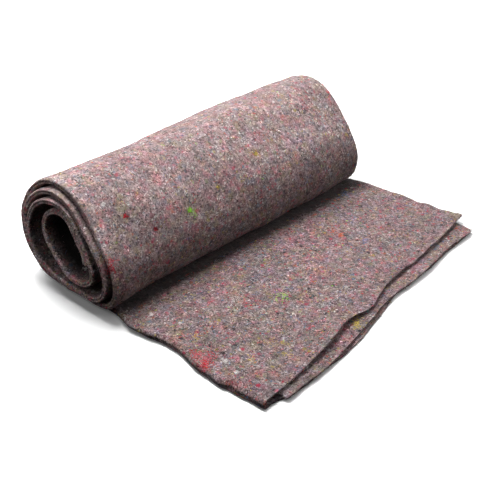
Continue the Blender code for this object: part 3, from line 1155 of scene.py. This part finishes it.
def strand_object(name, batches):
    """One mesh of closed strands. A batch is (lines, outwards, radii, rows), and
    lines holds for every strand the same number of points."""
    verts, faces, uvs = [], [], []
    offset = 0
    for lines, outwards, radii, rows in batches:
        count, steps = lines.shape[:2]
        body = strand_bodies(lines, outwards, radii)
        size = body.shape[1]
        starts = offset + size * np.arange(count)
        faces.append((starts[:, None, None] + strand_shape(steps)[None]).reshape(-1, 3))
        share = np.concatenate(([0.0], np.repeat(np.arange(1, steps - 1), 3) / (steps - 1), [1.0]))
        uv = np.stack((np.tile(share, (count, 1)), np.tile(rows[:, None], (1, size))), axis=2)
        verts.append(body.reshape(-1, 3))
        uvs.append(uv.reshape(-1, 2))
        offset += size * count
    verts, faces, uvs = np.concatenate(verts), np.concatenate(faces), np.concatenate(uvs)
    verts[:, 2] = np.maximum(verts[:, 2], ABOVE_FLOOR)
    mesh = bpy.data.meshes.new(name)
    mesh.from_pydata(verts.tolist(), [], faces.tolist())
    for map_name in ("strand", "OFBake"):
        layer = mesh.uv_layers.new(name=map_name)
        layer.uv.foreach_set("vector", uvs[faces.ravel()].ravel())
    mesh.shade_smooth()
    thing = bpy.data.objects.new(name, mesh)
    bpy.context.scene.collection.objects.link(thing)
    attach(thing, "root")
    print(name, offset, "points,", len(faces), "triangles")
    return thing

# %% Lines for fibres that lie on the surface or stand out of it
JUST_ABOVE = 0.00006


def lying_lines(spots, outwards, lengths, bends, steps, stand=0.0):
    """Curved lines through the spots, in random directions on the surface."""
    count = len(spots)
    helper = RANDOM.normal(size=(count, 3))
    along = np.cross(outwards, helper)
    along /= np.linalg.norm(along, axis=1)[:, None]
    aside = np.cross(outwards, along)
    share = np.linspace(-1.0, 1.0, steps)
    curve = (1.0 - share ** 2)[None, :, None] * (bends * lengths)[:, None, None] * aside[:, None]
    line = spots[:, None] + along[:, None] * share[None, :, None] * lengths[:, None, None] / 2.0
    height = JUST_ABOVE + stand * (share + 1.0)[None, :, None] * lengths[:, None, None] / 2.0
    return line + curve + outwards[:, None] * height


print("lying fibres keep", round(JUST_ABOVE * 1000, 2), "mm off the felt")

# %% [markdown]
# ## Fibres on the faces
# Most loose fibres are pale, charcoal or mauve and 3 to 8 mm long. About half
# as many are longer and curlier, up to 15 mm. They are drawn thicker than
# real single fibres, as the small twists of yarn are that survive shredding.
# Together they would be a heavy mesh, so the short and the long ones are two.

# %% Surface fibres
FIBRE_SHADES = (
    ("pale", "white", "charcoal", "brown", "mauve", "red", "teal", "blue"),
    (28, 4, 24, 18, 20, 1, 2, 2),
)
FIBRE_RADII = (0.00014, 0.00027)


def surface_fibres(name, density, steps, shortest, longest, bend):
    """Curved fibres that lie every way, so many to a square metre."""
    spots, outwards = open_places(density)
    lengths = RANDOM.uniform(shortest, longest, len(spots))
    bends = RANDOM.uniform(-bend, bend, len(spots))
    lines = lying_lines(spots, outwards, lengths, bends, steps)
    radii = RANDOM.uniform(*FIBRE_RADII, len(spots))
    rows = shade_rows(*FIBRE_SHADES, len(spots))
    return strand_object(name, [(lines, outwards, radii, rows)])


short_fibres = surface_fibres("short_fibres", 66000, 3, 0.0030, 0.0075, 0.20)
long_fibres = surface_fibres("long_fibres", 32000, 4, 0.007, 0.015, 0.32)

# %% [markdown]
# ## Coloured tufts
# A scrap that wasn't torn fine enough stays as a small tuft of one colour.
# Many tiny ones are spread at random. The larger ones that stand out, such as
# the lime tuft on the roll and the red patch at the near corner, have their
# own row in a table. Each row gives a rough place, and rays in one slanting
# direction find the felt there, so a tuft stays on the cloth when the cloth
# moves a little.

# %% Large tufts: colour, place and spread in metres, and count
TUFTS = (
    ("green",    (-0.104,  0.045, 0.101), 0.0016, 30),
    ("green",    (-0.101,  0.041, 0.096), 0.0036, 12),
    ("yellow",   ( 0.044,  0.057, 0.124), 0.0022, 20),
    ("yellow",   (-0.043,  0.050, 0.109), 0.0014, 12),
    ("red",      (-0.200,  0.065, 0.127), 0.0016, 18),
    ("red",      (-0.168,  0.045, 0.101), 0.0014, 10),
    ("charcoal", (-0.167,  0.045, 0.101), 0.0020, 14),
    ("red",      (-0.253,  0.039, 0.094), 0.0040, 16),
    ("red",      (-0.256,  0.037, 0.085), 0.0036, 22),
    ("red",      (-0.243, -0.099, 0.011), 0.0036, 26),
    ("pink",     (-0.237, -0.101, 0.011), 0.0056, 34),
    ("red",      (-0.246, -0.118, 0.011), 0.0034, 44),
    ("orange",   (-0.241, -0.119, 0.011), 0.0044, 16),
    ("pink",     (-0.232, -0.110, 0.011), 0.0080, 26),
    ("red",      (-0.229, -0.110, 0.011), 0.0040, 16),
    ("green",    (-0.074, -0.100, 0.011), 0.0034, 14),
    ("green",    (-0.080, -0.092, 0.011), 0.0030, 6),
    ("orange",   ( 0.100, -0.047, 0.011), 0.0036, 14),
    ("orange",   ( 0.098, -0.064, 0.011), 0.0022, 16),
    ("blue",     ( 0.198,  0.003, 0.010), 0.0032, 12),
    ("blue",     ( 0.110, -0.099, 0.011), 0.0026, 14),
    ("yellow",   (-0.051, -0.204, 0.006), 0.0032, 34),
    ("yellow",   (-0.046, -0.200, 0.006), 0.0042, 20),
    ("pink",     ( 0.239, -0.190, 0.007), 0.0040, 12),
    ("white",    (-0.220,  0.005, 0.010), 0.0014, 16),
    ("white",    (-0.224, -0.132, 0.011), 0.0012, 14),
    ("white",    (-0.240,  0.109, 0.044), 0.0014, 14),
    ("white",    (-0.245,  0.026, 0.009), 0.0045, 16),
    ("yellow",   (-0.198, -0.152, 0.011), 0.0034, 10),
    ("yellow",   (-0.216, -0.074, 0.011), 0.0026, 12),
    ("yellow",   (-0.156, -0.149, 0.011), 0.0036, 6),
    ("red",      (-0.120, -0.076, 0.011), 0.0032, 10),
    ("teal",     (-0.179, -0.054, 0.011), 0.0034, 9),
    ("orange",   (-0.023, -0.108, 0.011), 0.0022, 8),
    ("red",      ( 0.241,  0.081, 0.148), 0.0016, 8),
    ("charcoal", (-0.226,  0.124, 0.172), 0.0060, 22),
    ("charcoal", (-0.199,  0.112, 0.171), 0.0060, 14),
    ("charcoal", (-0.074,  0.111, 0.166), 0.0034, 16),
    ("white",    ( 0.040,  0.073, 0.143), 0.0040, 12),
    ("yellow",   ( 0.229,  0.032, 0.094), 0.0018, 6),
    ("charcoal", ( 0.174,  0.072, 0.143), 0.0040, 12),
    ("charcoal", (-0.009, -0.003, 0.010), 0.0030, 8),
    ("yellow",   (-0.161, -0.183, 0.011), 0.0030, 8),
    ("white",    (-0.126, -0.060, 0.011), 0.0060, 22),
    ("charcoal", (-0.133, -0.076, 0.011), 0.0026, 10),
    ("white",    (-0.022, -0.154, 0.011), 0.0040, 8),
    ("teal",     ( 0.202, -0.097, 0.011), 0.0032, 8),
)
print(len(TUFTS), "large tufts")

# %% Places for the large tufts
SLANT = Vector((0.618, 0.564, -0.548))
START_AWAY = 0.04
TRIES = 3


def large_tufts():
    """Strand places round each large tuft, found on the felt by slanting rays."""
    spots, outwards, rows = [], [], []
    for shade, place, spread, count in TUFTS:
        for shift in RANDOM.normal(scale=spread, size=(TRIES * count, 3)):
            start = Vector(place) + Vector(shift) - SLANT * START_AWAY
            found, out, _, _ = FELT_TREE.ray_cast(start, SLANT)
            if found is None:
                continue
            spots.append(found)
            outwards.append(out)
            rows.append(shade_rows((shade,), (1,), 1)[0])
    return np.array(spots), np.array(outwards), np.array(rows)


print("up to", TRIES * sum(row[-1] for row in TUFTS), "strands in the large tufts")

# %% Tufts, small and large
SMALL_TUFT_SHADES = (
    ("red", "pink", "orange", "yellow", "teal", "blue", "white", "charcoal", "green"),
    (16, 20, 8, 13, 9, 6, 3, 23, 2),
)
SMALL_TUFT_DENSITY, SMALL_TUFT_STRANDS, SMALL_TUFT_SPREAD = 9000, 4, 0.0010
SHORTEST_SCRAP, THINNEST_SCRAP, SCRAP_BEND = 0.0014, 0.00018, 0.25


def small_tufts():
    """Clusters of a few strands of one colour, anywhere on the felt."""
    centres, outwards = open_places(SMALL_TUFT_DENSITY)
    rows = shade_rows(*SMALL_TUFT_SHADES, len(centres))
    spots = np.repeat(centres, SMALL_TUFT_STRANDS, axis=0)
    outwards = np.repeat(outwards, SMALL_TUFT_STRANDS, axis=0)
    scatter = RANDOM.normal(scale=SMALL_TUFT_SPREAD, size=spots.shape)
    scatter -= outwards * (scatter * outwards).sum(axis=1)[:, None]
    return spots + scatter, outwards, np.repeat(rows, SMALL_TUFT_STRANDS)


# where the strands lie, the longest strand and the thickest radius
SOURCES = ((large_tufts, 0.0052, 0.00048), (small_tufts, 0.0040, 0.00036))


def coloured_tufts():
    batches = []
    for source, longest, thickest in SOURCES:
        spots, outwards, rows = source()
        lengths = RANDOM.uniform(SHORTEST_SCRAP, longest, len(spots))
        bends = RANDOM.uniform(-SCRAP_BEND, SCRAP_BEND, len(spots))
        lines = lying_lines(spots, outwards, lengths, bends, 3)
        radii = RANDOM.uniform(THINNEST_SCRAP, thickest, len(spots))
        batches.append((lines, outwards, radii, rows))
    return strand_object("coloured_tufts", batches)


tufts = coloured_tufts()

# %% [markdown]
# ## Fuzz on the edges
# Cutting felt leaves its fibres standing out of the edge. Short thin strands
# grow closely from the cut faces, and a few stand up from the rest of the
# surface, so the outline is never a clean line.

# %% Edge fuzz
# strands to a square metre, faces, shortest and longest strand, and how far it stands up
FUZZ = ((900000, (2,), 0.0012, 0.0036, 0.9), (40000, (0, 1), 0.0015, 0.0040, 0.7))
FUZZ_SHADES = (("pale", "mauve", "brown", "white", "red"), (40, 26, 16, 12, 6))
FUZZ_BEND = 0.3
FUZZ_RADII = (0.00005, 0.00010)


def edge_fuzz():
    batches = []
    for density, slots, shortest, longest, stand in FUZZ:
        spots, outwards = open_places(density, slots)
        lengths = RANDOM.uniform(shortest, longest, len(spots))
        bends = RANDOM.uniform(-FUZZ_BEND, FUZZ_BEND, len(spots))
        lines = lying_lines(spots, outwards, lengths, bends, 3, stand)
        radii = RANDOM.uniform(*FUZZ_RADII, len(spots))
        rows = shade_rows(*FUZZ_SHADES, len(spots))
        batches.append((lines, outwards, radii, rows))
    return strand_object("edge_fuzz", batches)


fuzz = edge_fuzz()

# %% [markdown]
# ## One finish for all strands
# The strands need no painted picture, because their UVs already say which
# shade they have. A ramp with hard steps turns that into colour, and noise
# drawn out along the strand keeps it from looking like plastic thread.

# %% Finish of the strands
STRAND_GRAIN = (6.0, 900.0, 1.0)
STRAND_TONES = ((0.3, 0.70), (0.7, 1.25))
STRAND_ROUGHNESS = ((0.3, 0.75), (0.7, 0.95))


def strand_finish():
    """Shade picked from the strip, with darker and paler stretches."""
    material = bpy.data.materials.new("loose_fibre")
    material.use_nodes = True
    tree = material.node_tree
    shader = tree.nodes["Principled BSDF"]
    spot = add_node(tree, "UVMap", uv_map="strand").outputs["UV"]
    split = add_node(tree, "SeparateXYZ", {0: spot})
    steps = [(start, colour) for _, start, colour in SHADES[:-1]]
    colour = add_ramp(tree, split.outputs["Y"], steps, "CONSTANT")
    drawn = add_node(tree, "Mapping", {"Vector": spot, "Scale": STRAND_GRAIN})
    grain = add_node(tree, "TexNoise", {"Vector": drawn.outputs[0], "Scale": 1.0, "Detail": 2.0})
    colour = toned_by(tree, colour, grain.outputs["Fac"], STRAND_TONES)
    tree.links.new(colour, shader.inputs["Base Color"])
    rough = add_ramp(tree, grain.outputs["Fac"], STRAND_ROUGHNESS)
    tree.links.new(rough, shader.inputs["Roughness"])
    shader.inputs["Specular IOR Level"].default_value = 0.25
    return material


loose_fibre = strand_finish()
for thing in (short_fibres, long_fibres, tufts, fuzz):
    thing.data.materials.append(loose_fibre)
    print(thing.name, "wears", loose_fibre.name)

# %% [markdown]
# ## A pale studio
# A real product table has a floor and a back wall that are lit on their own,
# so they stay white from every side. The floor does the same here: near the
# blanket it only takes light and shadow, and farther out it glows softly. Its
# bounce and the pale surround are kept off the felt, because they would wash
# out the dark core and the undersides.

# %% Floor
WHITE = (1.0, 1.0, 1.0, 1.0)
# a little over 1, so that the floor stays white between the lamps
FLOOR_WHITE = (1.05, 1.05, 1.05, 1.0)
FLOOR_SIZE, FLOOR_BELOW = 12.0, 0.0006
# glow at half the distance from the blanket in metres
FLOOR_GLOW = ((0.35, 0.0), (0.85, 1.0))
floor_mesh = bpy.data.meshes.new("floor")
floor_shape = bmesh.new()
bmesh.ops.create_grid(floor_shape, x_segments=1, y_segments=1, size=FLOOR_SIZE)
floor_shape.to_mesh(floor_mesh)
floor_shape.free()
floor = bpy.data.objects.new("floor", floor_mesh)
floor.location.z = -FLOOR_BELOW
bpy.context.scene.collection.objects.link(floor)
floor_finish = bpy.data.materials.new("pale_floor")
floor_finish.use_nodes = True
floor_tree = floor_finish.node_tree
floor_shader = floor_tree.nodes["Principled BSDF"]
floor_shader.inputs["Base Color"].default_value = FLOOR_WHITE
floor_shader.inputs["Roughness"].default_value = 0.9
floor_shader.inputs["Emission Color"].default_value = WHITE
floor_place = add_node(floor_tree, "NewGeometry").outputs["Position"]
away = vector_maths(floor_tree, "LENGTH", {0: floor_place}, "Value")
glow = add_ramp(floor_tree, maths(floor_tree, "MULTIPLY", away, 0.5), FLOOR_GLOW)
floor_tree.links.new(glow, floor_shader.inputs["Emission Strength"])
floor_mesh.materials.append(floor_finish)
floor.visible_diffuse = False
floor.visible_glossy = False
print("floor", 2 * FLOOR_SIZE, "m wide")

# %% Pale surround
world = bpy.data.worlds.new("studio")
bpy.context.scene.world = world
world.use_nodes = True
world.node_tree.nodes["Background"].inputs["Color"].default_value = WHITE
world.cycles_visibility.diffuse = False
world.cycles_visibility.glossy = False
bpy.context.scene.view_settings.view_transform = "Standard"
print("surround", world.name, "lights the felt:", world.cycles_visibility.diffuse)

# %% [markdown]
# ## Soft light
# Square area lamps stand in for studio softboxes. Most of the light comes
# from above and behind, so the top of the roll is bright and its front falls
# off into shade. The lamps at the left, the right and in front give the rest.
# They keep the shade readable and pick out the rims. A lamp's size sets how
# soft its shadow is.

# %% Lamps
def softbox(name, place, aim, size, power):
    data = bpy.data.lights.new(name, "AREA")
    data.shape = "SQUARE"
    data.size = size
    data.energy = power
    light = bpy.data.objects.new(name, data)
    light.visible_camera = False
    light.location = place
    light.rotation_euler = (Vector(aim) - Vector(place)).to_track_quat("-Z", "Y").to_euler()
    bpy.context.scene.collection.objects.link(light)
    return light


MIDDLE = (0.0, 0.0, 0.05)
# name, place, aim, size in metres and power in watts
LAMPS = (
    ("overhead back", (0.0, 1.1, 1.9), MIDDLE, 1.2, 26.0),
    ("right back", (1.7, 0.8, 1.3), MIDDLE, 1.2, 12.0),
    ("close back", (0.0, 0.9, 0.75), MIDDLE, 0.8, 6.0),
    ("close overhead", (0.0, 0.25, 0.95), MIDDLE, 0.6, 15.0),
    ("left front", (-1.5, -0.6, 1.3), MIDDLE, 1.2, 1.0),
    ("left", (-1.3, 0.3, 1.1), (-0.2, 0.0, 0.08), 0.8, 4.0),
    ("right front", (1.2, -0.8, 0.7), (0.1, 0.0, 0.08), 0.8, 9.0),
    ("front overhead", (0.1, -0.7, 2.1), MIDDLE, 1.2, 6.5),
)
for lamp in LAMPS:
    softbox(*lamp)
print(len(LAMPS), "lamps,", sum(lamp[-1] for lamp in LAMPS), "watts in all")

# %% [markdown]
# ## The camera
# A long lens from about 1.4 m away keeps the shape of the roll natural, while
# a short one would swell its near end. Its direction is built from two angles,
# which are easier to adjust than a rotation, and its picture is level.

# %% Camera
CAMERA_PLACE = Vector((-0.8885, -0.7632, 0.7885))
CAMERA_AZIMUTH = math.radians(-47.6)
CAMERA_ELEVATION = math.radians(33.2)
camera_data = bpy.data.cameras.new("camera")
camera_data.sensor_width = 36.0
camera_data.lens = 72.8
camera = bpy.data.objects.new("camera", camera_data)
bpy.context.scene.collection.objects.link(camera)
right = Vector((math.cos(CAMERA_AZIMUTH), math.sin(CAMERA_AZIMUTH), 0.0))
forward = Vector((
    -math.sin(CAMERA_AZIMUTH) * math.cos(CAMERA_ELEVATION),
    math.cos(CAMERA_AZIMUTH) * math.cos(CAMERA_ELEVATION),
    -math.sin(CAMERA_ELEVATION),
))
up = right.cross(forward)
axes = Matrix((right, up, -forward)).transposed().to_4x4()
camera.matrix_world = Matrix.Translation(CAMERA_PLACE) @ axes
bpy.context.scene.camera = camera
print("camera", round(CAMERA_PLACE.length, 2), "m from the blanket's middle")
